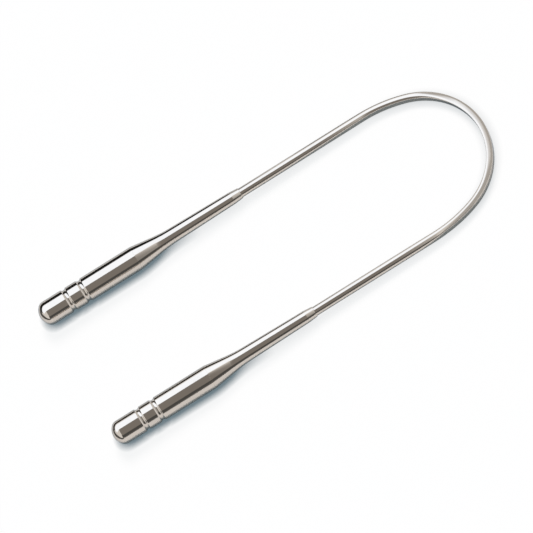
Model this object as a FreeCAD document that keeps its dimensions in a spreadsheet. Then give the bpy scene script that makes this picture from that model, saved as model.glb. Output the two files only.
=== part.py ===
"""Steel tongue scraper: a U-shaped spring bow with flats on its bend, held by two turned handles.

Frame: +Z up, +Y from the handle tips to the bend, +X across the arms, origin at the middle of
the bounding box on the surface that the grips lie on. Millimetres and degrees.
Inside each piece, Y is the distance from the handle tips and the axis lies at Z = 0.
"""
import FreeCAD, Part
import math
import os
import re
import Sketcher

DRIVING_SIZES = {
    # The whole tool
    "overall_length": 150.0,
    "arm_spacing": 50.0,
    # The bow: a round rod, two wide arcs that run into a tighter one, flats along the inside and the
    # outside of the bend, and flats above and below at its apex
    "rod_diameter": 3.1,
    "shoulder_radius": 44.0,
    "shoulder_angle": 20.0,
    "blade_thickness": 2.15,
    "blade_height": 2.5,
    "flat_angle": 5.0,
    "runout_length": 14.0,
    "inner_runout_length": 60.0,
    "apex_flat_angle": 28.0,
    "apex_runout_length": 10.0,
    "rod_insertion": 28.0,
    "rod_end_chamfer": 0.4,
    # The outside of a handle, from its tip
    "grip_diameter": 8.0,
    "crown_height": 2.35,
    "crown_edge_radius": 2.4,
    "seam_groove_at": 10.6,
    "ring_groove_at": 16.1,
    "groove_width": 1.7,
    "groove_floor_width": 0.8,
    "groove_depth": 0.46,
    "grip_end_at": 35.4,
    "taper_length": 7.7,
    "taper_end_diameter": 5.76,
    "blend_length": 5.8,
    "blend_radius": 45.0,
    "neck_start_diameter": 4.84,
    "neck_length": 21.9,
    "neck_end_diameter": 4.08,
    "mouth_length": 3.1,
    "mouth_diameter": 3.5,
    # The inside of a handle
    "sleeve_wall": 1.2,
    "cap_spigot_length": 9.0,
    "neck_spigot_length": 10.0,
    "spigot_chamfer": 0.4,
    "spigot_clearance": 0.02,
    "rod_clearance": 0.03,
    "bore_end_gap": 1.0,
    # How far the cuts that make the flats reach past the rod
    "cut_margin": 0.4,
}

DERIVED_SIZES = {
    "half_spacing": "=arm_spacing / 2",
    "rod_radius": "=rod_diameter / 2",
    "half_blade": "=blade_thickness / 2",
    "half_height": "=blade_height / 2",
    "grip_radius": "=grip_diameter / 2",
    "sleeve_bore_radius": "=grip_diameter / 2 - sleeve_wall",
    "spigot_radius": "=grip_diameter / 2 - sleeve_wall - spigot_clearance",
    "crown_radius": "=(grip_diameter ^ 2 / 4 + crown_height ^ 2) / (2 * crown_height)",
    "groove_floor_radius": "=grip_diameter / 2 - groove_depth",
    "taper_end_at": "=grip_end_at + taper_length",
    "neck_start_at": "=taper_end_at + blend_length",
    "neck_end_at": "=neck_start_at + neck_length",
    "mouth_at": "=neck_end_at + mouth_length",
    "rod_end_at": "=mouth_at - rod_insertion",
    "bore_radius": "=rod_radius + rod_clearance",
    "bore_floor_at": "=rod_end_at - bore_end_gap",
    "shoulder_centre_x": "=half_spacing - shoulder_radius",
    "join_x": "=shoulder_centre_x + shoulder_radius * cos(shoulder_angle)",
    "apex_radius": "=join_x / cos(shoulder_angle)",
    "apex_centre_at": "=overall_length - half_blade - apex_radius",
    "bend_start_at": "=apex_centre_at - (shoulder_radius - apex_radius) * sin(shoulder_angle)",
    "join_at": "=bend_start_at + shoulder_radius * sin(shoulder_angle)",
    "apex_at": "=apex_centre_at + apex_radius",
}

ARMS = {"left": "-half_spacing", "right": "half_spacing"}


def fill_sheet(doc: FreeCAD.Document) -> FreeCAD.DocumentObject:
    """Writes every size into the sheet, each under its own alias."""
    sheet = doc.addObject("Spreadsheet::Sheet", "Sizes")
    sizes = {**DRIVING_SIZES, **DERIVED_SIZES}
    for row, alias in enumerate(sizes, start=1):
        sheet.set(f"A{row}", alias)
        sheet.setAlias(f"B{row}", alias)
    for row, value in enumerate(sizes.values(), start=1):
        sheet.set(f"B{row}", str(value))
    doc.recompute()
    return sheet


def in_sheet(formula: str) -> str:
    """The same formula with each size's alias read from the sheet."""
    known = {**DRIVING_SIZES, **DERIVED_SIZES}
    return re.sub(r"[a-z_]+", lambda word: f"Sizes.{word[0]}" if word[0] in known else word[0], formula)


def origin_plane(body: FreeCAD.DocumentObject, role: str) -> FreeCAD.DocumentObject:
    """One of a body's own origin planes."""
    return next(feature for feature in body.Origin.OriginFeatures if feature.Role == role)


def new_sketch(body: FreeCAD.DocumentObject, name: str, role: str = "XY_Plane") -> FreeCAD.DocumentObject:
    """An empty sketch on one of the body's origin planes."""
    sketch = body.newObject("Sketcher::SketchObject", name)
    sketch.AttachmentSupport = [(origin_plane(body, role), "")]
    sketch.MapMode = "FlatFace"
    return sketch


def bind(sketch: FreeCAD.DocumentObject, constraint: Sketcher.Constraint, formula: str) -> None:
    """Adds a constraint whose value follows the sheet."""
    index = sketch.addConstraint(constraint)
    sketch.setExpression(f"Constraints[{index}]", in_sheet(formula))


def arc_between(first: FreeCAD.Vector, last: FreeCAD.Vector, radius: float, turn: int) -> tuple:
    """The short arc from first to last, and which of its ends (1 or 2) each point is.

    A turn of 1 has the centre to the left of the way from first to last, and -1 to the right.
    """
    chord = last - first
    left = FreeCAD.Vector(-chord.y, chord.x, 0).normalize()
    rise = math.sqrt(radius ** 2 - chord.Length ** 2 / 4)
    centre = (first + last) * 0.5 + left * rise * turn
    circle = Part.Circle(centre, FreeCAD.Vector(0, 0, 1), radius)
    start, end = (first, last) if turn > 0 else (last, first)
    begin = math.atan2(start.y - centre.y, start.x - centre.x)
    finish = math.atan2(end.y - centre.y, end.x - centre.x)
    if finish < begin:
        finish += 2 * math.pi
    ends = (1, 2) if turn > 0 else (2, 1)
    return Part.ArcOfCircle(circle, begin, finish), ends


def draw(sketch: FreeCAD.DocumentObject, corners: list, closed: bool = True) -> None:
    """Draws an outline through corners (x, y) or (x, y, radius, turn), all formulas of the sheet.

    A corner with a radius starts an arc to the next corner, and any other a straight line.
    """
    points = []
    for corner in corners:
        x = sketch.evalExpression(in_sheet(corner[0]))
        y = sketch.evalExpression(in_sheet(corner[1]))
        points.append(FreeCAD.Vector(float(x), float(y), 0))
    stretches = len(corners) if closed else len(corners) - 1
    ends = []
    for number in range(stretches):
        first = points[number]
        last = points[(number + 1) % len(points)]
        if len(corners[number]) > 2:
            radius = float(sketch.evalExpression(in_sheet(corners[number][2])))
            curve, names = arc_between(first, last, radius, corners[number][3])
        else:
            curve, names = Part.LineSegment(first, last), (1, 2)
        ends.append((sketch.addGeometry(curve, False), *names))
    for before, after in zip(ends, ends[1:]):
        sketch.addConstraint(Sketcher.Constraint("Coincident", before[0], before[2], after[0], after[1]))
    if closed:
        tail, head = ends[-1], ends[0]
        sketch.addConstraint(Sketcher.Constraint("Coincident", tail[0], tail[2], head[0], head[1]))
    starts = [(curve, vertex) for curve, vertex, _ in ends]
    if not closed:
        starts.append((ends[-1][0], ends[-1][2]))
    for number, corner in enumerate(corners):
        curve, vertex = starts[number]
        for formula, axis, kind in ((corner[0], -2, "DistanceX"), (corner[1], -1, "DistanceY")):
            if formula == "0":
                sketch.addConstraint(Sketcher.Constraint("PointOnObject", curve, vertex, axis))
            else:
                value = points[number].x if kind == "DistanceX" else points[number].y
                bind(sketch, Sketcher.Constraint(kind, -1, 1, curve, vertex, value), formula)
        if len(corner) > 2:
            radius = float(sketch.evalExpression(in_sheet(corner[2])))
            bind(sketch, Sketcher.Constraint("Radius", curve, radius), corner[2])


def new_body(doc: FreeCAD.Document, label: str) -> FreeCAD.DocumentObject:
    """An empty body that carries its sub-part's name."""
    body = doc.addObject("PartDesign::Body", label)
    body.Label = label
    return body


def place(body: FreeCAD.DocumentObject, across: str) -> None:
    """Puts a body's tip line at the back of the tool and its axis at grip height."""
    body.setExpression("Placement.Base.x", in_sheet(across))
    body.setExpression("Placement.Base.y", "-Sizes.overall_length / 2")
    body.setExpression("Placement.Base.z", "Sizes.grip_radius")


def turn_profile(body: FreeCAD.DocumentObject, corners: list) -> FreeCAD.DocumentObject:
    """Revolves a half outline about the handle's axis."""
    sketch = new_sketch(body, "Profile")
    draw(sketch, corners)
    revolution = body.newObject("PartDesign::Revolution", "Turned")
    revolution.Profile = sketch
    revolution.ReferenceAxis = (sketch, ["V_Axis"])
    revolution.Angle = 360
    return revolution


def circle_edges(shape: Part.Shape, radius: float, at: float) -> list:
    """Names of the round edges of one radius that lie at one distance from the tip."""
    names = []
    for number, edge in enumerate(shape.Edges, start=1):
        if not edge.Degenerated and isinstance(edge.Curve, Part.Circle):
            same_radius = abs(edge.Curve.Radius - radius) < 1e-4
            same_place = abs(edge.Curve.Center.y - at) < 1e-4
            if same_radius and same_place:
                names.append(f"Edge{number}")
    return names


def build_end_cap(
    doc: FreeCAD.Document, sheet: FreeCAD.DocumentObject, side: str
) -> FreeCAD.DocumentObject:
    """The domed end: a collar up to the floor of the seam groove and a spigot inside the sleeve."""
    body = new_body(doc, f"{side}_end_cap")
    spigot_end = "seam_groove_at + cap_spigot_length"
    turned = turn_profile(body, [
        ("0", "0", "crown_radius", 1),
        ("grip_radius", "crown_height"),
        ("grip_radius", "seam_groove_at - groove_width / 2"),
        ("groove_floor_radius", "seam_groove_at - groove_floor_width / 2"),
        ("groove_floor_radius", "seam_groove_at"),
        ("spigot_radius", "seam_groove_at"),
        ("spigot_radius", f"{spigot_end} - spigot_chamfer"),
        ("spigot_radius - spigot_chamfer", spigot_end),
        ("0", spigot_end),
    ])
    doc.recompute()
    rim = body.newObject("PartDesign::Fillet", "CrownEdge")
    rim.Base = (turned, circle_edges(turned.Shape, sheet.grip_radius, sheet.crown_height))
    rim.setExpression("Radius", "Sizes.crown_edge_radius")
    return body


def build_grip(doc: FreeCAD.Document, side: str) -> FreeCAD.DocumentObject:
    """The straight sleeve from the floor of the seam groove to the shoulder, with the ring groove."""
    body = new_body(doc, f"{side}_grip")
    turn_profile(body, [
        ("sleeve_bore_radius", "seam_groove_at"),
        ("groove_floor_radius", "seam_groove_at"),
        ("groove_floor_radius", "seam_groove_at + groove_floor_width / 2"),
        ("grip_radius", "seam_groove_at + groove_width / 2"),
        ("grip_radius", "ring_groove_at - groove_width / 2"),
        ("groove_floor_radius", "ring_groove_at - groove_floor_width / 2"),
        ("groove_floor_radius", "ring_groove_at + groove_floor_width / 2"),
        ("grip_radius", "ring_groove_at + groove_width / 2"),
        ("grip_radius", "grip_end_at"),
        ("sleeve_bore_radius", "grip_end_at"),
    ])
    return body


def build_neck(doc: FreeCAD.Document, side: str) -> FreeCAD.DocumentObject:
    """The tapered neck: a spigot inside the sleeve, the taper, and a blind bore for the rod."""
    body = new_body(doc, f"{side}_neck")
    spigot_end = "grip_end_at - neck_spigot_length"
    turn_profile(body, [
        ("0", spigot_end),
        ("spigot_radius - spigot_chamfer", spigot_end),
        ("spigot_radius", f"{spigot_end} + spigot_chamfer"),
        ("spigot_radius", "grip_end_at"),
        ("grip_radius", "grip_end_at"),
        ("taper_end_diameter / 2", "taper_end_at", "blend_radius", -1),
        ("neck_start_diameter / 2", "neck_start_at"),
        ("neck_end_diameter / 2", "neck_end_at"),
        ("mouth_diameter / 2", "mouth_at"),
        ("bore_radius", "mouth_at"),
        ("bore_radius", "bore_floor_at"),
        ("0", "bore_floor_at"),
    ])
    return body


def flat_cut(
    body: FreeCAD.DocumentObject,
    name: str,
    corners: list,
    reach: str,
    role: str = "XY_Plane",
    turn: float = 0.0,
) -> FreeCAD.DocumentObject:
    """Cuts one flat of the bend: all that lies inside the outline, up to reach from its plane.

    The turn, in degrees, lays the outline over about the plane's first axis.
    """
    sketch = new_sketch(body, f"{name}Outline", role)
    tilt = FreeCAD.Rotation(FreeCAD.Vector(1, 0, 0), turn)
    sketch.AttachmentOffset = FreeCAD.Placement(FreeCAD.Vector(), tilt)
    draw(sketch, corners)
    pocket = body.newObject("PartDesign::Pocket", name)
    pocket.Profile = sketch
    pocket.SideType = "Symmetric"
    pocket.Type = "Length"
    pocket.setExpression("Length", in_sheet(f"2 * ({reach})"))
    return pocket


def face_point(angle: str, side: str) -> tuple:
    """A point of the blade's outer (+) or inner (-) face on the wide arc, at an angle from its start."""
    radius = f"(shoulder_radius {side} half_blade)"
    return f"shoulder_centre_x + {radius} * cos({angle})", f"bend_start_at + {radius} * sin({angle})"


def build_bow(doc: FreeCAD.Document, sheet: FreeCAD.DocumentObject) -> FreeCAD.DocumentObject:
    """The bow: one half of the bent rod with its flats, mirrored across the middle of the tool."""
    body = new_body(doc, "scraper_bow")
    path = new_sketch(body, "HalfPath")
    draw(path, [
        ("half_spacing", "rod_end_at"),
        ("half_spacing", "bend_start_at", "shoulder_radius", 1),
        ("join_x", "join_at", "apex_radius", 1),
        ("0", "apex_at"),
    ], closed=False)
    section = new_sketch(body, "RodSection", "XZ_Plane")
    section.setExpression("AttachmentOffset.Base.z", "-Sizes.rod_end_at")
    centre = FreeCAD.Vector(sheet.half_spacing, 0, 0)
    ring = section.addGeometry(Part.Circle(centre, FreeCAD.Vector(0, 0, 1), sheet.rod_radius))
    bind(section, Sketcher.Constraint("Radius", ring, sheet.rod_radius), "rod_radius")
    bind(section, Sketcher.Constraint("DistanceX", -1, 1, ring, 3, sheet.half_spacing), "half_spacing")
    section.addConstraint(Sketcher.Constraint("PointOnObject", ring, 3, -1))
    rod = body.newObject("PartDesign::AdditivePipe", "Rod")
    rod.Profile = section
    rod.Spine = path
    rod.Mode = "Standard"
    doc.recompute()

    outer_start = face_point("flat_angle", "+")
    outer_join = face_point("shoulder_angle", "+")
    clear_outside = "half_spacing + rod_radius + cut_margin"
    clear_beyond = "overall_length + rod_radius + cut_margin"
    flat_cut(body, "OuterFlat", [
        ("0", "overall_length"),
        ("0", clear_beyond),
        (clear_outside, clear_beyond),
        (clear_outside, f"{outer_start[1]} - runout_length"),
        outer_start + ("shoulder_radius + half_blade", 1),
        outer_join + ("apex_radius + half_blade", 1),
    ], "rod_diameter")
    inner_start = face_point("flat_angle", "-")
    inner_join = face_point("shoulder_angle", "-")
    clear_inside = "half_spacing - rod_radius - cut_margin"
    flat_cut(body, "InnerFlat", [
        ("0", f"{inner_start[1]} - inner_runout_length"),
        (clear_inside, f"{inner_start[1]} - inner_runout_length"),
        inner_start + ("shoulder_radius - half_blade", 1),
        inner_join + ("apex_radius - half_blade", 1),
        ("0", "overall_length - blade_thickness"),
    ], "rod_diameter")
    flat_from = "apex_centre_at + apex_radius * cos(apex_flat_angle)"
    clear_over = "rod_radius + cut_margin"
    for name, turn in (("TopFlat", 0.0), ("BottomFlat", 180.0)):
        last_cut = flat_cut(body, name, [
            (f"{flat_from} - apex_runout_length", clear_over),
            (flat_from, "half_height"),
            (clear_beyond, "half_height"),
            (clear_beyond, clear_over),
        ], clear_outside, "YZ_Plane", turn)
    doc.recompute()

    chamfer = body.newObject("PartDesign::Chamfer", "RodEnd")
    chamfer.Base = (last_cut, circle_edges(last_cut.Shape, sheet.rod_radius, sheet.rod_end_at))
    chamfer.setExpression("Size", "Sizes.rod_end_chamfer")
    doc.recompute()
    mirrored = body.newObject("PartDesign::Mirrored", "OtherHalf")
    mirrored.TransformMode = "Whole shape"
    mirrored.MirrorPlane = (origin_plane(body, "YZ_Plane"), [""])
    body.Tip = mirrored
    return body


def check(doc: FreeCAD.Document, bodies: list) -> None:
    """Stops at the first object that failed or shape that isn't one sound solid."""
    for item in doc.Objects:
        if "Invalid" in item.State or "Error" in item.State:
            raise RuntimeError(f"{item.Label} failed: {item.State}")
    for body in bodies:
        if body.Shape.isNull() or not body.Shape.isValid() or len(body.Shape.Solids) != 1:
            raise RuntimeError(f"{body.Label} isn't one sound solid")


def main() -> None:
    """Builds every sub-part and writes one STEP file for each."""
    doc = FreeCAD.newDocument("TongueScraper")
    sheet = fill_sheet(doc)
    bow = build_bow(doc, sheet)
    place(bow, "0")
    bodies = [bow]
    for side, across in ARMS.items():
        for body in (build_end_cap(doc, sheet, side), build_grip(doc, side), build_neck(doc, side)):
            place(body, across)
            bodies.append(body)
    doc.recompute()
    check(doc, bodies)
    os.makedirs("parts", exist_ok=True)
    for body in bodies:
        body.Shape.exportStep(f"parts/{body.Label}.step")
        print(f"{body.Label}: {body.Shape.Volume:.2f} mm3")


main()
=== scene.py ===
"""Polished steel tongue scraper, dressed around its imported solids.

A U-shaped spring bow with flats along its bend is held by two turned handles. Sizes in the classes
are millimetres and degrees, as on a maker's drawing. Blender gets metres.
"""

import logging
import math
from dataclasses import dataclass, field
from enum import Enum
from typing import Any, Optional

import bmesh
import bpy
from mathutils import Matrix, Vector


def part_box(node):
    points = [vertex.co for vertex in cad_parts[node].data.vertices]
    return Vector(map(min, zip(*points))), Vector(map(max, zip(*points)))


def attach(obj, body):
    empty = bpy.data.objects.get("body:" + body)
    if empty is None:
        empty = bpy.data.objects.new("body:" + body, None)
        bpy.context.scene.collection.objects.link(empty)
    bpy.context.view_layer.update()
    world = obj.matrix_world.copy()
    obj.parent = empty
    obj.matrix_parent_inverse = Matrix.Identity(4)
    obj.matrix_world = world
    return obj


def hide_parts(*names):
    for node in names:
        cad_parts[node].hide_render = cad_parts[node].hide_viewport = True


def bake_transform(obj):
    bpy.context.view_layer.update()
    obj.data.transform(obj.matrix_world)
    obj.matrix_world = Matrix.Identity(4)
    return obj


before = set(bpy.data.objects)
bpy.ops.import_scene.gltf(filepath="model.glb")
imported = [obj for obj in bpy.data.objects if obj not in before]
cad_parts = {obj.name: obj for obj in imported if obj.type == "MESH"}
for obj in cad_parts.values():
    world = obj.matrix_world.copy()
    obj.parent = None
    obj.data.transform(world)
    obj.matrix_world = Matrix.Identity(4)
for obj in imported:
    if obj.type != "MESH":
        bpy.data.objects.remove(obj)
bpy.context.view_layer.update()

MM = 0.001
MERGE_REACH = 0.001 * MM
SHARP_ANGLE = math.radians(38)
UP = Vector((0, 0, 1))
WHITE = (1.0, 1.0, 1.0, 1.0)
MATH = "ShaderNodeMath"
VECTOR_MATH = "ShaderNodeVectorMath"
MAP_RANGE = "ShaderNodeMapRange"

LOG = logging.getLogger("tongue_scraper")

Point = tuple[float, float]
Place = tuple[float, float, float]
Inputs = dict[Any, Any]


class Side(Enum):
    """The two arms of the tool, by the sign of their place along X."""

    LEFT = -1
    RIGHT = 1

    @property
    def word(self) -> str:
        """The side's name as the solids' names have it."""
        return self.name.lower()


def srgb(code: str) -> tuple[float, float, float, float]:
    """Turns an sRGB hex colour into linear colour.

    Args:
        code: Six hex digits, such as "d1c8bd".

    Returns:
        Linear red, green, blue and an alpha of 1.
    """
    shares = [int(code[place:place + 2], 16) / 255 for place in (0, 2, 4)]
    linear = [share / 12.92 if share <= 0.04045 else ((share + 0.055) / 1.055) ** 2.4 for share in shares]
    return (*linear, 1.0)


def add_node(
    tree: bpy.types.NodeTree, kind: str, inputs: Optional[Inputs] = None, **settings: Any
) -> bpy.types.Node:
    """Adds one node, with its settings, values and links.

    Args:
        tree: The tree that gets the node.
        kind: The node's type name.
        inputs: Values or sockets by the name or number of the input that they go to.
        settings: The node's own properties.

    Returns:
        The new node.
    """
    node = tree.nodes.new(kind)
    for name, value in settings.items():
        setattr(node, name, value)
    for key, value in (inputs or {}).items():
        if isinstance(value, bpy.types.NodeSocket):
            tree.links.new(value, node.inputs[key])
        else:
            node.inputs[key].default_value = value
    return node


def new_object(name: str, mesh: bpy.types.Mesh) -> bpy.types.Object:
    """Puts a mesh into the scene at the origin.

    Args:
        name: The object's name.
        mesh: Its mesh.

    Returns:
        The new object.
    """
    mesh.name = name
    piece = bpy.data.objects.new(name, mesh)
    bpy.context.scene.collection.objects.link(piece)
    return piece


def shaped_by_nodes(
    name: str, guide: bpy.types.Mesh, tree: bpy.types.GeometryNodeTree, values: Inputs
) -> bpy.types.Object:
    """Runs a shaping tree on a guide line and keeps the result as a plain closed mesh.

    Args:
        name: The piece's name.
        guide: The line that the tree works on.
        tree: The shaping tree.
        values: The tree's inputs by their names.

    Returns:
        The finished piece, at the origin, with outward faces and no modifier left.
    """
    piece = new_object(name, guide)
    shaper = piece.modifiers.new("shape", "NODES")
    shaper.node_group = tree
    sockets = {item.name: item.identifier for item in tree.interface.items_tree if item.in_out == "INPUT"}
    for label, value in values.items():
        shaper[sockets[label]] = value
    evaluated = piece.evaluated_get(bpy.context.evaluated_depsgraph_get())
    result = bpy.data.meshes.new_from_object(evaluated)
    piece.modifiers.remove(shaper)
    piece.data = result
    result.name = name
    work = bmesh.new()
    work.from_mesh(result)
    bmesh.ops.remove_doubles(work, verts=work.verts, dist=MERGE_REACH)
    bmesh.ops.recalc_face_normals(work, faces=work.faces)
    work.to_mesh(result)
    work.free()
    result.shade_smooth()
    result.set_sharp_from_angle(angle=SHARP_ANGLE)
    return piece


def guide_line(points: list[Vector], along: Optional[list[float]] = None) -> bpy.types.Mesh:
    """Makes a bare line of edges for a shaping tree.

    Args:
        points: The line's points, in metres.
        along: A length for each point, kept as the attribute "along".

    Returns:
        The line as a mesh.
    """
    mesh = bpy.data.meshes.new("guide")
    mesh.from_pydata(points, [(index, index + 1) for index in range(len(points) - 1)], [])
    if along:
        mesh.attributes.new("along", "FLOAT", "POINT").data.foreach_set("value", along)
    return mesh


def new_shaping_tree(name: str, sizes: dict[str, str]) -> tuple[bpy.types.GeometryNodeTree, bpy.types.Node]:
    """Starts a shaping tree with a geometry input and output and named sizes.

    Args:
        name: The tree's name.
        sizes: Socket types by the names of the inputs.

    Returns:
        The tree and its input node.
    """
    tree = bpy.data.node_groups.new(name, "GeometryNodeTree")
    tree.interface.new_socket("Geometry", in_out="INPUT", socket_type="NodeSocketGeometry")
    tree.interface.new_socket("Geometry", in_out="OUTPUT", socket_type="NodeSocketGeometry")
    for label, kind in sizes.items():
        tree.interface.new_socket(label, in_out="INPUT", socket_type=kind)
    return tree, add_node(tree, "NodeGroupInput")


def end_shaping_tree(
    tree: bpy.types.GeometryNodeTree, geometry: bpy.types.NodeSocket, material: bpy.types.NodeSocket
) -> None:
    """Ends a shaping tree in real geometry with its finish.

    Args:
        tree: The tree to end.
        geometry: The finished geometry.
        material: The material to put on it.
    """
    real = add_node(tree, "GeometryNodeRealizeInstances", {"Geometry": geometry})
    dressed = add_node(tree, "GeometryNodeSetMaterial", {"Geometry": real.outputs[0], "Material": material})
    add_node(tree, "NodeGroupOutput", {"Geometry": dressed.outputs[0]})


def lathe_tree() -> bpy.types.GeometryNodeTree:
    """Makes the tree that turns a half outline about an axis along Y, as a lathe does.

    Returns:
        A tree whose guide line holds (radius, place along Y) and whose inputs give the axis.
    """
    tree, given = new_shaping_tree("turned_on_lathe", {
        "Segments": "NodeSocketInt",
        "Axis X": "NodeSocketFloat",
        "Axis Z": "NodeSocketFloat",
        "Material": "NodeSocketMaterial",
    })
    outline, segments = given.outputs["Geometry"], given.outputs["Segments"]
    count = add_node(tree, "GeometryNodeAttributeDomainSize", {"Geometry": outline}).outputs["Point Count"]
    last = add_node(tree, MATH, {0: count, 1: 1.0}, operation="SUBTRACT").outputs[0]
    columns = add_node(tree, MATH, {0: segments, 1: 1.0}, operation="ADD").outputs[0]
    sheet = add_node(tree, "GeometryNodeMeshGrid", {
        "Size X": last,
        "Size Y": segments,
        "Vertices X": count,
        "Vertices Y": columns,
    })
    place = add_node(tree, "GeometryNodeInputPosition").outputs[0]
    cell = add_node(tree, "ShaderNodeSeparateXYZ", {0: place})
    steps = []
    for whole, axis in ((last, "X"), (segments, "Y")):
        centred = add_node(tree, MATH, {0: whole, 1: 0.5, 2: cell.outputs[axis]}, operation="MULTIPLY_ADD")
        steps.append(add_node(tree, MATH, {0: centred.outputs[0]}, operation="ROUND").outputs[0])
    row, step = steps
    part_turns = add_node(tree, MATH, {0: step, 1: math.tau}, operation="MULTIPLY").outputs[0]
    angle = add_node(tree, MATH, {0: part_turns, 1: segments}, operation="DIVIDE").outputs[0]
    sample = add_node(
        tree,
        "GeometryNodeSampleIndex",
        {"Geometry": outline, "Value": place, "Index": row},
        data_type="FLOAT_VECTOR",
        domain="POINT",
    )
    corner = add_node(tree, "ShaderNodeSeparateXYZ", {0: sample.outputs[0]})
    sides = {"Y": corner.outputs["Y"]}
    for axis, operation in (("X", "COSINE"), ("Z", "SINE")):
        share = add_node(tree, MATH, {0: angle}, operation=operation).outputs[0]
        parts = {0: corner.outputs["X"], 1: share, 2: given.outputs[f"Axis {axis}"]}
        sides[axis] = add_node(tree, MATH, parts, operation="MULTIPLY_ADD").outputs[0]
    turned = add_node(tree, "ShaderNodeCombineXYZ", sides).outputs[0]
    moved = add_node(tree, "GeometryNodeSetPosition", {"Geometry": sheet.outputs["Mesh"], "Position": turned})
    closed = add_node(tree, "GeometryNodeMergeByDistance", {
        "Geometry": moved.outputs[0],
        "Distance": MERGE_REACH,
    })
    end_shaping_tree(tree, closed.outputs[0], given.outputs["Material"])
    return tree


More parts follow.
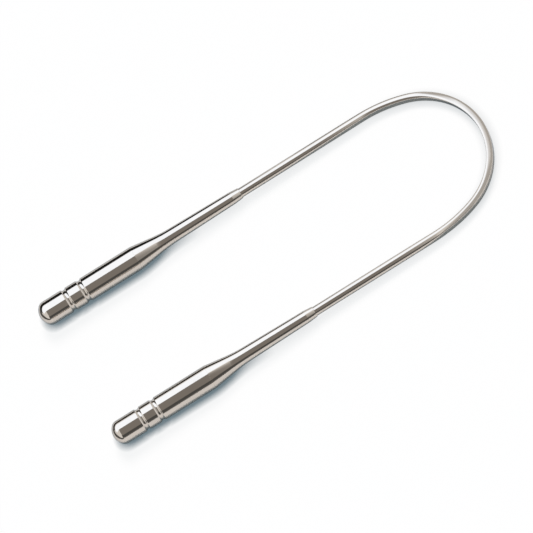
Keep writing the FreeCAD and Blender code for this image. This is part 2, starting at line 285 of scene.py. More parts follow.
def sweep_tree() -> bpy.types.GeometryNodeTree:
    """Makes the tree that draws a round rod along a path and presses four flats on its bend.

    Returns:
        A tree whose guide line is the path, with the distance from the apex as "along".
    """
    tree, given = new_shaping_tree("pressed_rod", {
        "Rod Radius": "NodeSocketFloat",
        "Half Blade": "NodeSocketFloat",
        "Half Height": "NodeSocketFloat",
        "Half Free": "NodeSocketFloat",
        "Flat Length": "NodeSocketFloat",
        "Outer Runout End": "NodeSocketFloat",
        "Inner Runout End": "NodeSocketFloat",
        "Apex Flat Length": "NodeSocketFloat",
        "Apex Runout End": "NodeSocketFloat",
        "Chamfer Start": "NodeSocketFloat",
        "Path Length": "NodeSocketFloat",
        "End Scale": "NodeSocketFloat",
        "Edge Sharpness": "NodeSocketFloat",
        "Outward Sign": "NodeSocketFloat",
        "Section Segments": "NodeSocketInt",
        "Material": "NodeSocketMaterial",
    })
    size = given.outputs
    place = add_node(tree, "GeometryNodeInputPosition").outputs[0]
    path = add_node(tree, "GeometryNodeMeshToCurve", {"Mesh": size["Geometry"]}).outputs[0]
    kept = add_node(tree, "GeometryNodeCaptureAttribute")
    tangent = add_node(tree, "GeometryNodeInputTangent").outputs[0]
    for label, value in (("Centre", place), ("Tangent", tangent)):
        kept.capture_items.new("VECTOR", label)
        tree.links.new(value, kept.inputs[label])
    tree.links.new(path, kept.inputs["Geometry"])
    centre = kept.outputs["Centre"]
    ring = add_node(tree, "GeometryNodeCurvePrimitiveCircle", {
        "Resolution": size["Section Segments"],
        "Radius": size["Rod Radius"],
    })
    round_about = add_node(tree, "GeometryNodeCaptureAttribute")
    round_about.capture_items.new("FLOAT", "Around")
    tree.links.new(ring.outputs[0], round_about.inputs["Geometry"])
    turn = add_node(tree, "GeometryNodeSplineParameter").outputs["Factor"]
    tree.links.new(turn, round_about.inputs["Around"])
    rod = add_node(tree, "GeometryNodeCurveToMesh", {
        "Curve": kept.outputs["Geometry"],
        "Profile Curve": round_about.outputs["Geometry"],
        "Fill Caps": True,
    })
    along = add_node(tree, "GeometryNodeInputNamedAttribute", {"Name": "along"}, data_type="FLOAT").outputs[0]
    sideways = add_node(tree, VECTOR_MATH, {0: kept.outputs["Tangent"], 1: UP}, operation="CROSS_PRODUCT")
    straight = add_node(tree, VECTOR_MATH, {0: sideways.outputs[0]}, operation="NORMALIZE")
    signed = {0: straight.outputs[0], "Scale": size["Outward Sign"]}
    outward = add_node(tree, VECTOR_MATH, signed, operation="SCALE").outputs[0]
    reach = add_node(tree, VECTOR_MATH, {0: place, 1: centre}, operation="SUBTRACT").outputs[0]
    out = add_node(tree, VECTOR_MATH, {0: reach, 1: outward}, operation="DOT_PRODUCT").outputs["Value"]
    rise = add_node(tree, VECTOR_MATH, {0: reach, 1: UP}, operation="DOT_PRODUCT").outputs["Value"]
    # The flats at the apex run out smoothly, because a crease across the top would show in its mirror.
    limits = {}
    for label, flat, start, end, way in (
        ("outer", "Half Blade", "Flat Length", "Outer Runout End", "LINEAR"),
        ("inner", "Half Blade", "Flat Length", "Inner Runout End", "LINEAR"),
        ("height", "Half Height", "Apex Flat Length", "Apex Runout End", "SMOOTHSTEP"),
    ):
        limits[label] = add_node(tree, MAP_RANGE, {
            "Value": along,
            "From Min": size[start],
            "From Max": size[end],
            "To Min": size[flat],
            "To Max": size["Half Free"],
        }, interpolation_type=way).outputs[0]
    outside = add_node(tree, MATH, {0: out, 1: 0.0}, operation="GREATER_THAN").outputs[0]
    limits["side"] = add_node(tree, "ShaderNodeMix", {
        0: outside,
        2: limits["inner"],
        3: limits["outer"],
    }, data_type="FLOAT").outputs[0]
    # A flat presses all that stands past its limit back to it, softly, so that its edges are rounded.
    shape = centre
    sharpness = size["Edge Sharpness"]
    ending = add_node(tree, MAP_RANGE, {
        "Value": along,
        "From Min": size["Chamfer Start"],
        "From Max": size["Path Length"],
        "To Min": 1.0,
        "To Max": size["End Scale"],
    }).outputs[0]
    root = add_node(tree, MATH, {0: -1.0, 1: sharpness}, operation="DIVIDE").outputs[0]
    for distance, limit, direction in ((out, limits["side"], outward), (rise, limits["height"], UP)):
        share = add_node(tree, MATH, {0: distance, 1: limit}, operation="DIVIDE").outputs[0]
        size_of_share = add_node(tree, MATH, {0: share}, operation="ABSOLUTE").outputs[0]
        crowding = add_node(tree, MATH, {0: size_of_share, 1: sharpness}, operation="POWER").outputs[0]
        raised = add_node(tree, MATH, {0: crowding, 1: 1.0}, operation="ADD").outputs[0]
        narrowing = add_node(tree, MATH, {0: raised, 1: root}, operation="POWER").outputs[0]
        pressed = add_node(tree, MATH, {0: distance, 1: narrowing}, operation="MULTIPLY").outputs[0]
        trimmed = add_node(tree, MATH, {0: pressed, 1: ending}, operation="MULTIPLY").outputs[0]
        step = add_node(tree, VECTOR_MATH, {0: direction, "Scale": trimmed}, operation="SCALE").outputs[0]
        shape = add_node(tree, VECTOR_MATH, {0: shape, 1: step}, operation="ADD").outputs[0]
    moved = add_node(tree, "GeometryNodeSetPosition", {"Geometry": rod.outputs[0], "Position": shape})
    lengths = add_node(tree, "ShaderNodeCombineXYZ", {"X": along, "Y": round_about.outputs["Around"]})
    mapped = add_node(
        tree,
        "GeometryNodeStoreNamedAttribute",
        {"Geometry": moved.outputs[0], "Name": "UVMap", "Value": lengths.outputs[0]},
        data_type="FLOAT2",
        domain="CORNER",
    )
    end_shaping_tree(tree, mapped.outputs[0], size["Material"])
    return tree


@dataclass
class Outline:
    """Half outline of a turned piece as (radius, distance from the handle's tip), drawn run by run."""

    start: Point
    runs: list[list[Point]] = field(default_factory=list)
    eases: list[float] = field(default_factory=list)
    arc_step: float = 4.0
    least_arc_steps: int = 4
    guard: float = 0.03
    room_for_guards: float = 4.0
    ease_points: int = 7
    ease_slack: float = 0.001

    def _here(self) -> Point:
        """The point that the outline has reached."""
        return self.runs[-1][-1] if self.runs else self.start

    def line(self, radius: float, at: float, ease: float = 0.0) -> "Outline":
        """Adds a straight run, with guard points that keep its shading straight.

        Args:
            radius: The run's end.
            at: The end's distance from the tip.
            ease: How far the corner at the run's start is rounded.

        Returns:
            The outline.
        """
        first_radius, first_at = self._here()
        length = math.dist((first_radius, first_at), (radius, at))
        reach = ease + self.guard
        shares = [0.0, 1.0]
        if length > self.room_for_guards * reach:
            shares = [0.0, reach / length, 1 - reach / length, 1.0]
        self.runs.append([
            (first_radius + (radius - first_radius) * share, first_at + (at - first_at) * share)
            for share in shares
        ])
        self.eases.append(ease)
        return self

    def arc(self, radius: float, at: float, bend: float, turn: int, ease: float = 0.0) -> "Outline":
        """Adds the short arc to a point.

        Args:
            radius: The run's end.
            at: The end's distance from the tip.
            bend: The arc's own radius.
            turn: 1 has the centre to the left of the way, and -1 to the right.
            ease: How far the corner at the run's start is rounded.

        Returns:
            The outline.
        """
        first, last = Vector(self._here()), Vector((radius, at))
        chord = last - first
        left = Vector((-chord.y, chord.x)).normalized()
        centre = (first + last) / 2 + left * turn * math.sqrt(max(bend ** 2 - chord.length_squared / 4, 0.0))
        begin = math.atan2(first.y - centre.y, first.x - centre.x)
        sweep = math.atan2(last.y - centre.y, last.x - centre.x) - begin
        sweep = (sweep + math.pi) % math.tau - math.pi
        steps = max(self.least_arc_steps, math.ceil(abs(math.degrees(sweep)) / self.arc_step))
        angles = [begin + sweep * step / steps for step in range(steps + 1)]
        self.runs.append([(centre.x + bend * math.cos(a), centre.y + bend * math.sin(a)) for a in angles])
        self.eases.append(ease)
        return self

    @staticmethod
    def _trimmed(run: list[Point], cut: float) -> list[Point]:
        """Cuts a length off the start of a run.

        Args:
            run: The run's points.
            cut: The length to lose.

        Returns:
            The rest of the run.
        """
        left = cut
        for index, (near, far) in enumerate(zip(run, run[1:])):
            step = math.dist(near, far)
            if step > left:
                share = left / step
                start = (near[0] + (far[0] - near[0]) * share, near[1] + (far[1] - near[1]) * share)
                return [start, *run[index + 1:]]
            left -= step
        return run[-1:]

    def points(self) -> list[Point]:
        """The whole outline, with its corners rounded.

        Returns:
            Its points in order.
        """
        runs = [list(run) for run in self.runs]
        joined = [runs[0][0]]
        for index, run in enumerate(runs):
            ease = self.eases[index]
            corner = run[0]
            if ease and index:
                before = self._trimmed(runs[index - 1][::-1], ease)[::-1]
                after = self._trimmed(run, ease)
                kept_from = ease * (1 - self.ease_slack)
                joined = [point for point in joined if math.dist(point, corner) > kept_from]
                for step in range(self.ease_points + 1):
                    t = step / self.ease_points
                    weights = ((1 - t) ** 2, 2 * t * (1 - t), t ** 2)
                    joined.append(tuple(
                        weights[0] * a + weights[1] * b + weights[2] * c
                        for a, b, c in zip(before[-1], corner, after[0])
                    ))
                joined.extend(after[1:])
            else:
                joined.extend(run[1:])
        return joined


@dataclass(frozen=True)
class SteelFinish:
    """Polished austenitic stainless steel: a warm grey mirror with a trace of how it was worked."""

    name: str
    colour: str = "d3cabf"
    shade: str = "c5bdb4"
    smooth: float = 0.045
    handled: float = 0.11
    smudge_mm: float = 7.0
    smudge_from: float = 0.35
    smudge_to: float = 0.75
    line_mm: float = 0.4
    line_depth_mm: float = 0.00006
    rod_width_mm: float = 3.1
    line_breaks_per_metre: float = 6.0
    ring_breaks_per_metre: float = 0.4
    edge_tint: str = "b8c2ca"
    follows_path: bool = False

    def make(self) -> bpy.types.Material:
        """Builds the material.

        Returns:
            A metal whose polish is dulled a little where it is handled.
        """
        material = bpy.data.materials.new(self.name)
        material.use_nodes = True
        tree = material.node_tree
        tree.nodes.clear()
        where = add_node(tree, "ShaderNodeTexCoord")
        object_place = where.outputs["Object"]
        smudge = add_node(tree, "ShaderNodeTexNoise", {
            "Vector": object_place,
            "Scale": 1 / (self.smudge_mm * MM),
            "Detail": 4.0,
            "Roughness": 0.6,
        }).outputs["Fac"]
        dull = add_node(tree, MAP_RANGE, {
            "Value": smudge,
            "From Min": self.smudge_from,
            "From Max": self.smudge_to,
            "To Min": self.smooth,
            "To Max": self.handled,
        }).outputs[0]
        tint = add_node(tree, "ShaderNodeMix", {
            0: smudge,
            6: srgb(self.colour),
            7: srgb(self.shade),
        }, data_type="RGBA").outputs[2]
        # Turning leaves rings round a handle, and drawing leaves lines along the rod. Both are finer than
        # a tenth of a millimetre on the real tool and are drawn coarser so that a close view shows them.
        source = where.outputs["UV"] if self.follows_path else object_place
        lines_round_rod = math.pi * self.rod_width_mm / self.line_mm
        lines_scale = (self.line_breaks_per_metre, lines_round_rod, 1.0)
        rings_per_metre = 1 / (self.line_mm * MM)
        rings_scale = (self.ring_breaks_per_metre, rings_per_metre, self.ring_breaks_per_metre)
        stretched = add_node(tree, "ShaderNodeMapping", {
            "Vector": source,
            "Scale": lines_scale if self.follows_path else rings_scale,
        }).outputs[0]
        lines = add_node(tree, "ShaderNodeTexNoise", {
            "Vector": stretched,
            "Scale": 1.0,
            "Detail": 3.0,
            "Roughness": 0.7,
        }).outputs["Fac"]
        relief = add_node(tree, "ShaderNodeBump", {
            "Strength": 1.0,
            "Distance": self.line_depth_mm * MM,
            "Height": lines,
        }).outputs[0]
        steel = add_node(tree, "ShaderNodeBsdfPrincipled", {
            "Base Color": tint,
            "Metallic": 1.0,
            "Roughness": dull,
            "Specular Tint": srgb(self.edge_tint),
            "Normal": relief,
        })
        add_node(tree, "ShaderNodeOutputMaterial", {"Surface": steel.outputs[0]})
        return material


@dataclass
class Handle:
    """One turned handle: a domed cap, a straight grip with two ring grooves and a tapered neck."""

    side: Side
    finish: bpy.types.Material
    lathe: bpy.types.GeometryNodeTree
    radius: float = 4.0
    tip_to_middle: float = 75.0
    crown_height: float = 2.35
    crown_edge: float = 2.4
    seam_groove: float = 10.6
    ring_groove: float = 16.1
    groove_width: float = 1.7
    groove_depth: float = 0.46
    groove_bend: float = 0.88
    groove_slope: float = 42.0
    grip_end: float = 35.4
    taper_length: float = 7.7
    taper_end_radius: float = 2.88
    blend_length: float = 5.8
    blend_bend: float = 45.0
    neck_start_radius: float = 2.42
    neck_length: float = 21.9
    neck_end_radius: float = 2.04
    mouth_length: float = 3.1
    mouth_radius: float = 1.75
    sleeve_bore: float = 2.8
    spigot_radius: float = 2.78
    cap_spigot: float = 9.0
    neck_spigot: float = 10.0
    chamfer: float = 0.4
    rod_bore: float = 1.58
    bore_floor: float = 44.9
    groove_edge: float = 0.13
    seam_edge: float = 0.03
    mouth_edge: float = 0.25
    lip_edge: float = 0.06
    segments: int = 192

    @property
    def groove_floor(self) -> float:
        """The radius left at the bottom of a groove."""
        return self.radius - self.groove_depth

    @property
    def groove_wall_end(self) -> Point:
        """Where a groove's straight wall ends: its radius, and its distance from the groove's middle."""
        lean = math.radians(self.groove_slope)
        rise = self.groove_bend * (1 - math.cos(lean))
        return self.groove_floor + rise, self.groove_bend * math.sin(lean)

    def cap_outline(self) -> Outline:
        """The domed end: crown, eased rim, collar, half a groove and the spigot inside the grip.

        Returns:
            The outline from the tip to the spigot's end.
        """
        crown = (self.radius ** 2 + self.crown_height ** 2) / (2 * self.crown_height)
        rim_inset = self.radius - self.crown_edge
        rim_at = crown - math.sqrt((crown - self.crown_edge) ** 2 - rim_inset ** 2)
        share = crown / (crown - self.crown_edge)
        spigot_end = self.seam_groove + self.cap_spigot
        wall_end, from_middle = self.groove_wall_end
        return (
            Outline((0.0, 0.0))
            .arc(rim_inset * share, crown - (crown - rim_at) * share, crown, 1)
            .arc(self.radius, rim_at, self.crown_edge, 1)
            .line(self.radius, self.seam_groove - self.groove_width / 2)
            .line(wall_end, self.seam_groove - from_middle, self.groove_edge)
            .arc(self.groove_floor, self.seam_groove, self.groove_bend, -1)
            .line(self.spigot_radius, self.seam_groove)
            .line(self.spigot_radius, spigot_end - self.chamfer)
            .line(self.spigot_radius - self.chamfer, spigot_end)
            .line(0.0, spigot_end)
        )

    def grip_outline(self) -> Outline:
        """The sleeve: half a groove, a whole groove and the long straight grip.

        Returns:
            The closed outline of the sleeve's wall.
        """
        half = self.groove_width / 2
        wall_end, from_middle = self.groove_wall_end
        return (
            Outline((self.sleeve_bore, self.seam_groove))
            .line(self.groove_floor, self.seam_groove)
            .arc(wall_end, self.seam_groove + from_middle, self.groove_bend, -1)
            .line(self.radius, self.seam_groove + half)
            .line(self.radius, self.ring_groove - half, self.groove_edge)
            .line(wall_end, self.ring_groove - from_middle, self.groove_edge)
            .arc(wall_end, self.ring_groove + from_middle, self.groove_bend, -1)
            .line(self.radius, self.ring_groove + half)
            .line(self.radius, self.grip_end, self.groove_edge)
            .line(self.sleeve_bore, self.grip_end, self.seam_edge)
            .line(self.sleeve_bore, self.seam_groove)
        )

    def neck_outline(self) -> Outline:
        """The neck: spigot inside the grip, taper, blend, slim neck and the chamfered mouth.

        Returns:
            The outline from the spigot's end to the floor of the rod's bore.
        """
        spigot_end = self.grip_end - self.neck_spigot
        taper_end = self.grip_end + self.taper_length
        neck_start = taper_end + self.blend_length
        neck_end = neck_start + self.neck_length
        mouth = neck_end + self.mouth_length
        return (
            Outline((0.0, spigot_end))
            .line(self.spigot_radius - self.chamfer, spigot_end)
            .line(self.spigot_radius, spigot_end + self.chamfer)
            .line(self.spigot_radius, self.grip_end)
            .line(self.radius, self.grip_end)
            .line(self.taper_end_radius, taper_end, self.seam_edge)
            .arc(self.neck_start_radius, neck_start, self.blend_bend, -1)
            .line(self.neck_end_radius, neck_end)
            .line(self.mouth_radius, mouth, self.mouth_edge)
            .line(self.rod_bore, mouth, self.lip_edge)
            .line(self.rod_bore, self.bore_floor)
            .line(0.0, self.bore_floor)
        )

    def build(self) -> list[bpy.types.Object]:
        """Turns the three pieces and lets them ride on the handle's body.

        Returns:
            The cap, the grip and the neck.
        """
        outlines = {"end_cap": self.cap_outline(), "grip": self.grip_outline(), "neck": self.neck_outline()}
        return [self._turned(piece, outline) for piece, outline in outlines.items()]

    def _turned(self, piece: str, outline: Outline) -> bpy.types.Object:
        """Turns one piece.

        Args:
            piece: The piece's name without its side.
            outline: Its half outline.

        Returns:
            The finished piece.
        """
        node = f"{self.side.word}_{piece}"
        low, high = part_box(node)
        line = [Vector((radius * MM, (at - self.tip_to_middle) * MM, 0)) for radius, at in outline.points()]
        turned = shaped_by_nodes(f"{node}_turned", guide_line(line), self.lathe, {
            "Segments": self.segments,
            "Axis X": (low.x + high.x) / 2,
            "Axis Z": (low.z + high.z) / 2,
            "Material": self.finish,
        })
        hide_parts(node)
        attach(turned, f"{self.side.word}_handle")
        return turned


@dataclass
class Bow:
    """The spring bow: a round rod with flats along its bend, and above and below at the apex."""

    finish: bpy.types.Material
    sweep: bpy.types.GeometryNodeTree
    half_spacing: float = 25.0
    tip_to_middle: float = 75.0
    axis_height: float = 4.0
    rod_radius: float = 1.55
    half_blade: float = 1.075
    half_height: float = 1.25
    half_clear: float = 1.95
    half_free: float = 2.9
    outer_runout: float = 14.0
    inner_runout: float = 60.0
    apex_flat: float = 11.62
    apex_runout: float = 40.0
    flat_angle: float = 5.0
    shoulder_radius: float = 44.0
    shoulder_angle: float = 20.0
    tip_to_apex: float = 148.925
    rod_end: float = 45.9
    rod_end_chamfer: float = 0.4
    edge_sharpness: float = 17.0
    section_segments: int = 160
    angle_step: float = 0.5
    length_step: float = 1.0

    def half_path(self) -> list[Point]:
        """The centreline of one half, from the apex to the rod's end.

        Returns:
            Points as (distance from the middle plane, distance from the handle tips).
        """
        lean = math.radians(self.shoulder_angle)
        join = self.half_spacing - self.shoulder_radius * (1 - math.cos(lean))
        apex_radius = join / math.cos(lean)
        apex_centre = self.tip_to_apex - apex_radius
        bend_start = apex_centre - (self.shoulder_radius - apex_radius) * math.sin(lean)
        shoulder_x = self.half_spacing - self.shoulder_radius
        points = []
        apex_steps = math.ceil((90 - self.shoulder_angle) / self.angle_step)
        for step in range(apex_steps):
            angle = math.radians(90 - (90 - self.shoulder_angle) * step / apex_steps)
            points.append((apex_radius * math.cos(angle), apex_centre + apex_radius * math.sin(angle)))
        shoulder_steps = math.ceil(self.shoulder_angle / self.angle_step)
        for step in range(shoulder_steps):
            angle = lean * (1 - step / shoulder_steps)
            points.append((
                shoulder_x + self.shoulder_radius * math.cos(angle),
                bend_start + self.shoulder_radius * math.sin(angle),
            ))
        at = bend_start
        while at > self.rod_end + self.rod_end_chamfer + self.length_step:
            points.append((self.half_spacing, at))
            at -= self.length_step
        points.append((self.half_spacing, self.rod_end + self.rod_end_chamfer))
        points.append((self.half_spacing, self.rod_end))
        return points

    def build(self) -> list[bpy.types.Object]:
        """Sweeps both halves.

        Returns:
            The left half and the right half.
        """
        return [self._half(side) for side in Side]

    def _half(self, side: Side) -> bpy.types.Object:
        """Sweeps one half.

        Args:
            side: Which arm it is.

        Returns:
            The finished half.
        """
        path = self.half_path()
        lengths = [0.0]
        for near, far in zip(path, path[1:]):
            lengths.append(lengths[-1] + math.dist(near, far))
        whole = lengths[-1]
        bend_index = next(index for index, point in enumerate(path) if point[0] == self.half_spacing)
        flat_length = lengths[bend_index] - math.radians(self.flat_angle) * self.shoulder_radius
        spread = (self.half_free - self.half_blade) / (self.half_clear - self.half_blade)
        line = [
            Vector((side.value * across, at - self.tip_to_middle, self.axis_height)) * MM
            for across, at in path
        ]
        guide = guide_line(line, [length * MM for length in lengths])
        half = shaped_by_nodes(f"scraper_bow_{side.word}_half", guide, self.sweep, {
            "Rod Radius": self.rod_radius * MM,
            "Half Blade": self.half_blade * MM,
            "Half Height": self.half_height * MM,
            "Half Free": self.half_free * MM,
            "Flat Length": flat_length * MM,
            "Outer Runout End": (flat_length + self.outer_runout * spread) * MM,
            "Inner Runout End": (flat_length + self.inner_runout * spread) * MM,
            "Apex Flat Length": self.apex_flat * MM,
            "Apex Runout End": (self.apex_flat + self.apex_runout) * MM,
            "Chamfer Start": (whole - self.rod_end_chamfer) * MM,
            "Path Length": whole * MM,
            "End Scale": 1 - self.rod_end_chamfer / self.rod_radius,
            "Edge Sharpness": self.edge_sharpness,
            "Outward Sign": -side.value,
            "Section Segments": self.section_segments,
            "Material": self.finish,
        })
        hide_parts("scraper_bow")
        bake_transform(half)
        return half


@dataclass(frozen=True)
class Card:
    """A flat studio panel that only the steel's reflections see."""

    name: str
    level: float
    corner: Place
    across: Place
    along: Place
    soft_across: float = 0.0
    soft_along: float = 0.0
    colour: str = "ffffff"

    def build(self) -> bpy.types.Object:
        """Makes the panel with its light level and soft borders.

        Returns:
            The card.
        """
        corner, across, along = (Vector(place) * MM for place in (self.corner, self.across, self.along))
        corners = [corner, corner + along, corner + along + across, corner + across]
        mesh = bpy.data.meshes.new(self.name)
        mesh.from_pydata(corners, [], [(0, 1, 2, 3)])
        mapping = mesh.uv_layers.new(name="UVMap")
        for index, place in enumerate(((0, 0), (0, 1), (1, 1), (1, 0))):
            mapping.data[index].uv = place
        card = new_object(self.name, mesh)
        mesh.materials.append(self._material())
        card.visible_camera = False
        card.visible_diffuse = False
        card.visible_shadow = False
        card.visible_volume_scatter = False
        return card

    def _material(self) -> bpy.types.Material:
        """Builds the card's own even light, which thins out at soft borders.

        Returns:
            The material.
        """
        material = bpy.data.materials.new(f"{self.name}_panel")
        material.use_nodes = True
        tree = material.node_tree
        tree.nodes.clear()
        where = add_node(tree, "ShaderNodeTexCoord").outputs["UV"]
        place = add_node(tree, "ShaderNodeSeparateXYZ", {0: where})
        glow = add_node(tree, "ShaderNodeEmission", {"Color": srgb(self.colour), "Strength": self.level})
        shown: Any = 1.0
        for axis, softness in (("X", self.soft_across), ("Y", self.soft_along)):
            if softness:
                inset = add_node(tree, MATH, {0: place.outputs[axis], 1: 0.5}, operation="SUBTRACT")
                depth = add_node(tree, MATH, {0: inset.outputs[0]}, operation="ABSOLUTE")
                fade = add_node(tree, MAP_RANGE, {
                    "Value": depth.outputs[0],
                    "From Min": 0.5,
                    "From Max": 0.5 - softness,
                    "To Min": 0.0,
                    "To Max": 1.0,
                }, interpolation_type="SMOOTHSTEP")
                shown = add_node(tree, MATH, {0: fade.outputs[0], 1: shown}, operation="MULTIPLY").outputs[0]
        clear = add_node(tree, "ShaderNodeBsdfTransparent")
        panel = add_node(tree, "ShaderNodeMixShader", {0: shown, 1: clear.outputs[0], 2: glow.outputs[0]})
        add_node(tree, "ShaderNodeOutputMaterial", {"Surface": panel.outputs[0]})
        return material


def seen_or_mirrored(tree: bpy.types.NodeTree, mirrored: float) -> bpy.types.NodeSocket:
    """Tells the rays that show a surface, straight or in a mirror, from the rays that light the tool.

    Args:
        tree: The material or world that asks.
        mirrored: How much a glossy or transmission ray counts beside a camera ray.

    Returns:
        A socket that is 1 for camera rays, the given share for mirrored ones, and else 0.
    """
    ray = add_node(tree, "ShaderNodeLightPath").outputs
    mirror = add_node(tree, MATH, {
        0: ray["Is Glossy Ray"],
        1: ray["Is Transmission Ray"],
    }, operation="MAXIMUM").outputs[0]
    counted = {0: mirror, 1: mirrored, 2: ray["Is Camera Ray"]}
    return add_node(tree, MATH, counted, operation="MULTIPLY_ADD", use_clamp=True).outputs[0]


@dataclass(frozen=True)
class PaintedShadowStretch:
    """A stretch along the tool, from start to end, over which the contact shadow painted into the floor's
    glow grows deeper.
    """

    start: float
    end: float
    more: float


@dataclass
class Studio:
    """A pale floor with a contact shadow painted into its glow, one soft key light, cool fill from all round
    and the cards that the steel mirrors.
    """

    floor_colour: str = "f6f8fa"
    # Painted shadow: the floor's glow turns towards this cool grey where the occlusion test finds the tool
    # close by.
    painted_shadow_colour: str = "6f8088"
    painted_shadow_reach: float = 3.0
    painted_shadow_depth: float = 0.25
    painted_shadow_samples: int = 16
    painted_shadow_more: tuple[PaintedShadowStretch, ...] = (
        PaintedShadowStretch(-18.0, -34.0, 1.5),
        PaintedShadowStretch(45.0, 62.0, 0.25),
    )
    seen_glow: float = 0.88
    mirrored_glow: float = 0.1
    floor_reach: float = 6000.0
    rest_at: float = -39.6
    rest_span: float = 106.4
    rest_rise: float = 2.45
    key_strength: float = 3.05
    key_colour: str = "fff0e8"
    key_from_left: float = 36.0
    key_from_bend: float = 13.0
    key_spread: float = 24.0
    fill_colour: str = "d9f1ff"
    fill_strength: float = 0.43
    # Each card: name, light level, first corner, edge across, edge along, soft shares of both, colour.
    cards: tuple[Card, ...] = (
        Card("softbox", 1.95, (-266, -640, 150), (284, -110, 160), (0, 779, 0), 0.1, 0.022, "e7f1ff"),
        Card("ceiling", 0.29, (-12, -205, 312), (312, 0, -200), (0, 265, 0), 0.0, 0.12, "fff8f2"),
        Card("near_flag", 0.1, (222, -250, 200), (108, 0, -210), (0, 500, 0), 0.32, 0.1),
        Card("near_wall", 0.35, (345, -300, -12), (0, 0, 150), (0, 550, 0), 0.0, 0.1),
        Card("far_flag", 0.02, (-90, -300, 0), (0, 0, 50), (0, 320, 0), 0.06, 0.1),
        Card("far_strip", 0.12, (-48, 10, 0), (0, 0, 10), (0, 90, 0), 0.06, 0.2),
        Card("beyond_bend", 0.6, (-600, 62, 330), (1200, 0, 0), (0, 700, -60), 0.0, 0.05),
        Card("end_flag", 0.11, (-75, -91, -3), (150, 0, 0), (0, 0, 11), 0.05, 0.25),
    )

    def build(self) -> None:
        """Lays the floor, hangs the lights and sets the cards."""
        self._floor()
        self._key()
        self._world()
        for card in self.cards:
            card.build()

    def _floor(self) -> None:
        """Lays the floor so that the grips' shoulders and the blade rest on it."""
        reach = self.floor_reach
        slope = self.rest_rise / self.rest_span
        corners = []
        for x, y in ((-1, -1), (1, -1), (1, 1), (-1, 1)):
            along = y * reach
            corners.append(Vector((x * reach, along, (along - self.rest_at) * slope)) * MM)
        mesh = bpy.data.meshes.new("floor")
        mesh.from_pydata(corners, [], [(0, 1, 2, 3)])
        mesh.materials.append(self._floor_material())
        new_object("floor", mesh)

    def _floor_material(self) -> bpy.types.Material:
        """Builds the floor's matt white card.

        Returns:
            An even pale ground that takes the key light's soft shadow, with a painted contact shadow in its
            glow, darkest where the tool touches it.
        """
        material = bpy.data.materials.new("matt_white_card_with_painted_shadow")
        material.use_nodes = True
        tree = material.node_tree
        tree.nodes.clear()
        paper = add_node(tree, "ShaderNodeBsdfDiffuse", {"Color": srgb(self.floor_colour)}).outputs[0]
        # Painted shadow: an occlusion test within a short reach sets how far the floor's glow is darkened.
        reach_of_contact = {"Distance": self.painted_shadow_reach * MM}
        contact = add_node(
            tree,
            "ShaderNodeAmbientOcclusion",
            reach_of_contact,
            samples=self.painted_shadow_samples,
        )
        closed = add_node(tree, MATH, {0: 1.0, 1: contact.outputs["AO"]}, operation="SUBTRACT").outputs[0]
        # The painted contact shadow is made deepest under the thick grips and the bend, where the tool lies
        # lowest.
        where = add_node(tree, "ShaderNodeTexCoord").outputs["Object"]
        along = add_node(tree, "ShaderNodeSeparateXYZ", {0: where}).outputs["Y"]
        depth: Any = self.painted_shadow_depth
        for stretch in self.painted_shadow_more:
            extra = add_node(tree, MAP_RANGE, {
                "Value": along,
                "From Min": stretch.start * MM,
                "From Max": stretch.end * MM,
                "To Min": 0.0,
                "To Max": stretch.more,
            }).outputs[0]
            depth = add_node(tree, MATH, {0: extra, 1: depth}, operation="ADD").outputs[0]
        shade = add_node(tree, MATH, {0: closed, 1: depth}, operation="MULTIPLY", use_clamp=True).outputs[0]
        # Painted shadow: the floor's glow is mixed from white towards the cool contact colour by the
        # occlusion.
        painted_shadow_tone = add_node(tree, "ShaderNodeMix", {
            0: shade,
            6: WHITE,
            7: srgb(self.painted_shadow_colour),
        }, data_type="RGBA").outputs[2]
        glow = add_node(tree, "ShaderNodeEmission", {"Color": painted_shadow_tone, "Strength": 1.0}).outputs[0]
        seen = seen_or_mirrored(tree, self.mirrored_glow)
        share = add_node(tree, MATH, {0: seen, 1: self.seen_glow}, operation="MULTIPLY").outputs[0]
        floor = add_node(tree, "ShaderNodeMixShader", {0: share, 1: paper, 2: glow}).outputs[0]
        add_node(tree, "ShaderNodeOutputMaterial", {"Surface": floor})
        return material

    def _key(self) -> None:
        """Hangs the key light: soft, from above, beyond the far arm and a little beyond the bend."""
        light = bpy.data.lights.new("key", "SUN")
        light.energy = self.key_strength
        light.color = srgb(self.key_colour)[:3]
        light.angle = math.radians(self.key_spread)
        key = bpy.data.objects.new("key", light)
        key.rotation_euler = (-math.radians(self.key_from_bend), -math.radians(self.key_from_left), 0)
        key.visible_glossy = False
        bpy.context.scene.collection.objects.link(key)

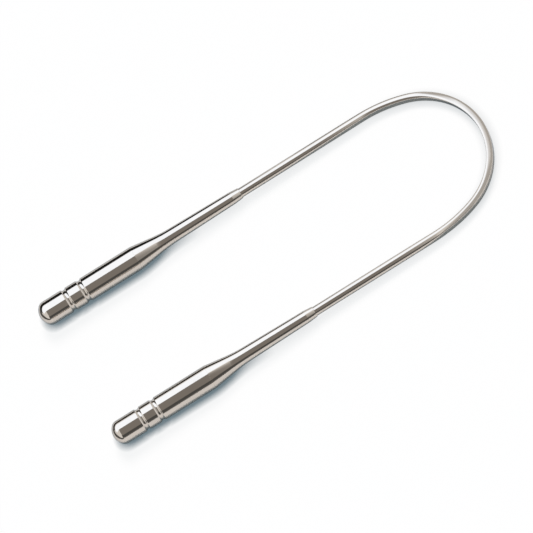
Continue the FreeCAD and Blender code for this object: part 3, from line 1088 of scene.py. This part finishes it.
    def _world(self) -> None:
        """Makes the surround: white where it is seen or mirrored, and a cool fill on the floor."""
        world = bpy.data.worlds.new("studio")
        world.use_nodes = True
        tree = world.node_tree
        tree.nodes.clear()
        fill = add_node(tree, "ShaderNodeBackground", {
            "Color": srgb(self.fill_colour),
            "Strength": self.fill_strength,
        }).outputs[0]
        white = add_node(tree, "ShaderNodeBackground", {"Color": WHITE, "Strength": 1.0}).outputs[0]
        seen = seen_or_mirrored(tree, 1.0)
        mixed = add_node(tree, "ShaderNodeMixShader", {0: seen, 1: fill, 2: white}).outputs[0]
        add_node(tree, "ShaderNodeOutputWorld", {"Surface": mixed})
        bpy.context.scene.world = world


@dataclass
class PhotoCamera:
    """A long lens above the near arm, rolled so that the bend points up and to the right."""

    elevation: float = 61.0
    roll: float = 32.0
    lens: float = 1100.0
    sensor: float = 36.0
    view_width: float = 166.56
    clip_near: float = 10.0
    clip_far: float = 50000.0
    target: Place = (2.3, -6.4, 4.0)

    def build(self) -> None:
        """Sets the scene's camera."""
        rise = math.radians(self.elevation)
        roll = math.radians(self.roll)
        back = Vector((math.cos(rise), 0, math.sin(rise)))
        level_up = Vector((-math.sin(rise), 0, math.cos(rise)))
        right = Vector((0, math.cos(roll), 0)) - level_up * math.sin(roll)
        up = Vector((0, math.sin(roll), 0)) + level_up * math.cos(roll)
        data = bpy.data.cameras.new("photo_camera")
        data.lens = self.lens
        data.sensor_width = self.sensor
        data.clip_start = self.clip_near * MM
        data.clip_end = self.clip_far * MM
        camera = bpy.data.objects.new("photo_camera", data)
        distance = self.view_width * self.lens / self.sensor
        place = Vector(self.target) * MM + back * distance * MM
        camera.matrix_world = Matrix.Translation(place) @ Matrix((right, up, back)).transposed().to_4x4()
        bpy.context.scene.collection.objects.link(camera)
        bpy.context.scene.camera = camera


def main() -> None:
    """Builds the camera, the studio, the bow and the handles, and reports each piece."""
    logging.basicConfig(level=logging.INFO, format="%(name)s: %(message)s")
    bpy.context.scene.view_settings.view_transform = "Standard"
    PhotoCamera().build()
    Studio().build()
    rod_steel = SteelFinish("polished_drawn_stainless_steel", follows_path=True).make()
    handle_steel = SteelFinish("polished_turned_stainless_steel").make()
    lathe = lathe_tree()
    pieces = Bow(rod_steel, sweep_tree()).build()
    for side in Side:
        pieces.extend(Handle(side, handle_steel, lathe).build())
    for piece in pieces:
        LOG.info("%s: %d faces", piece.name, len(piece.data.polygons))


if __name__ == "__main__":
    main()
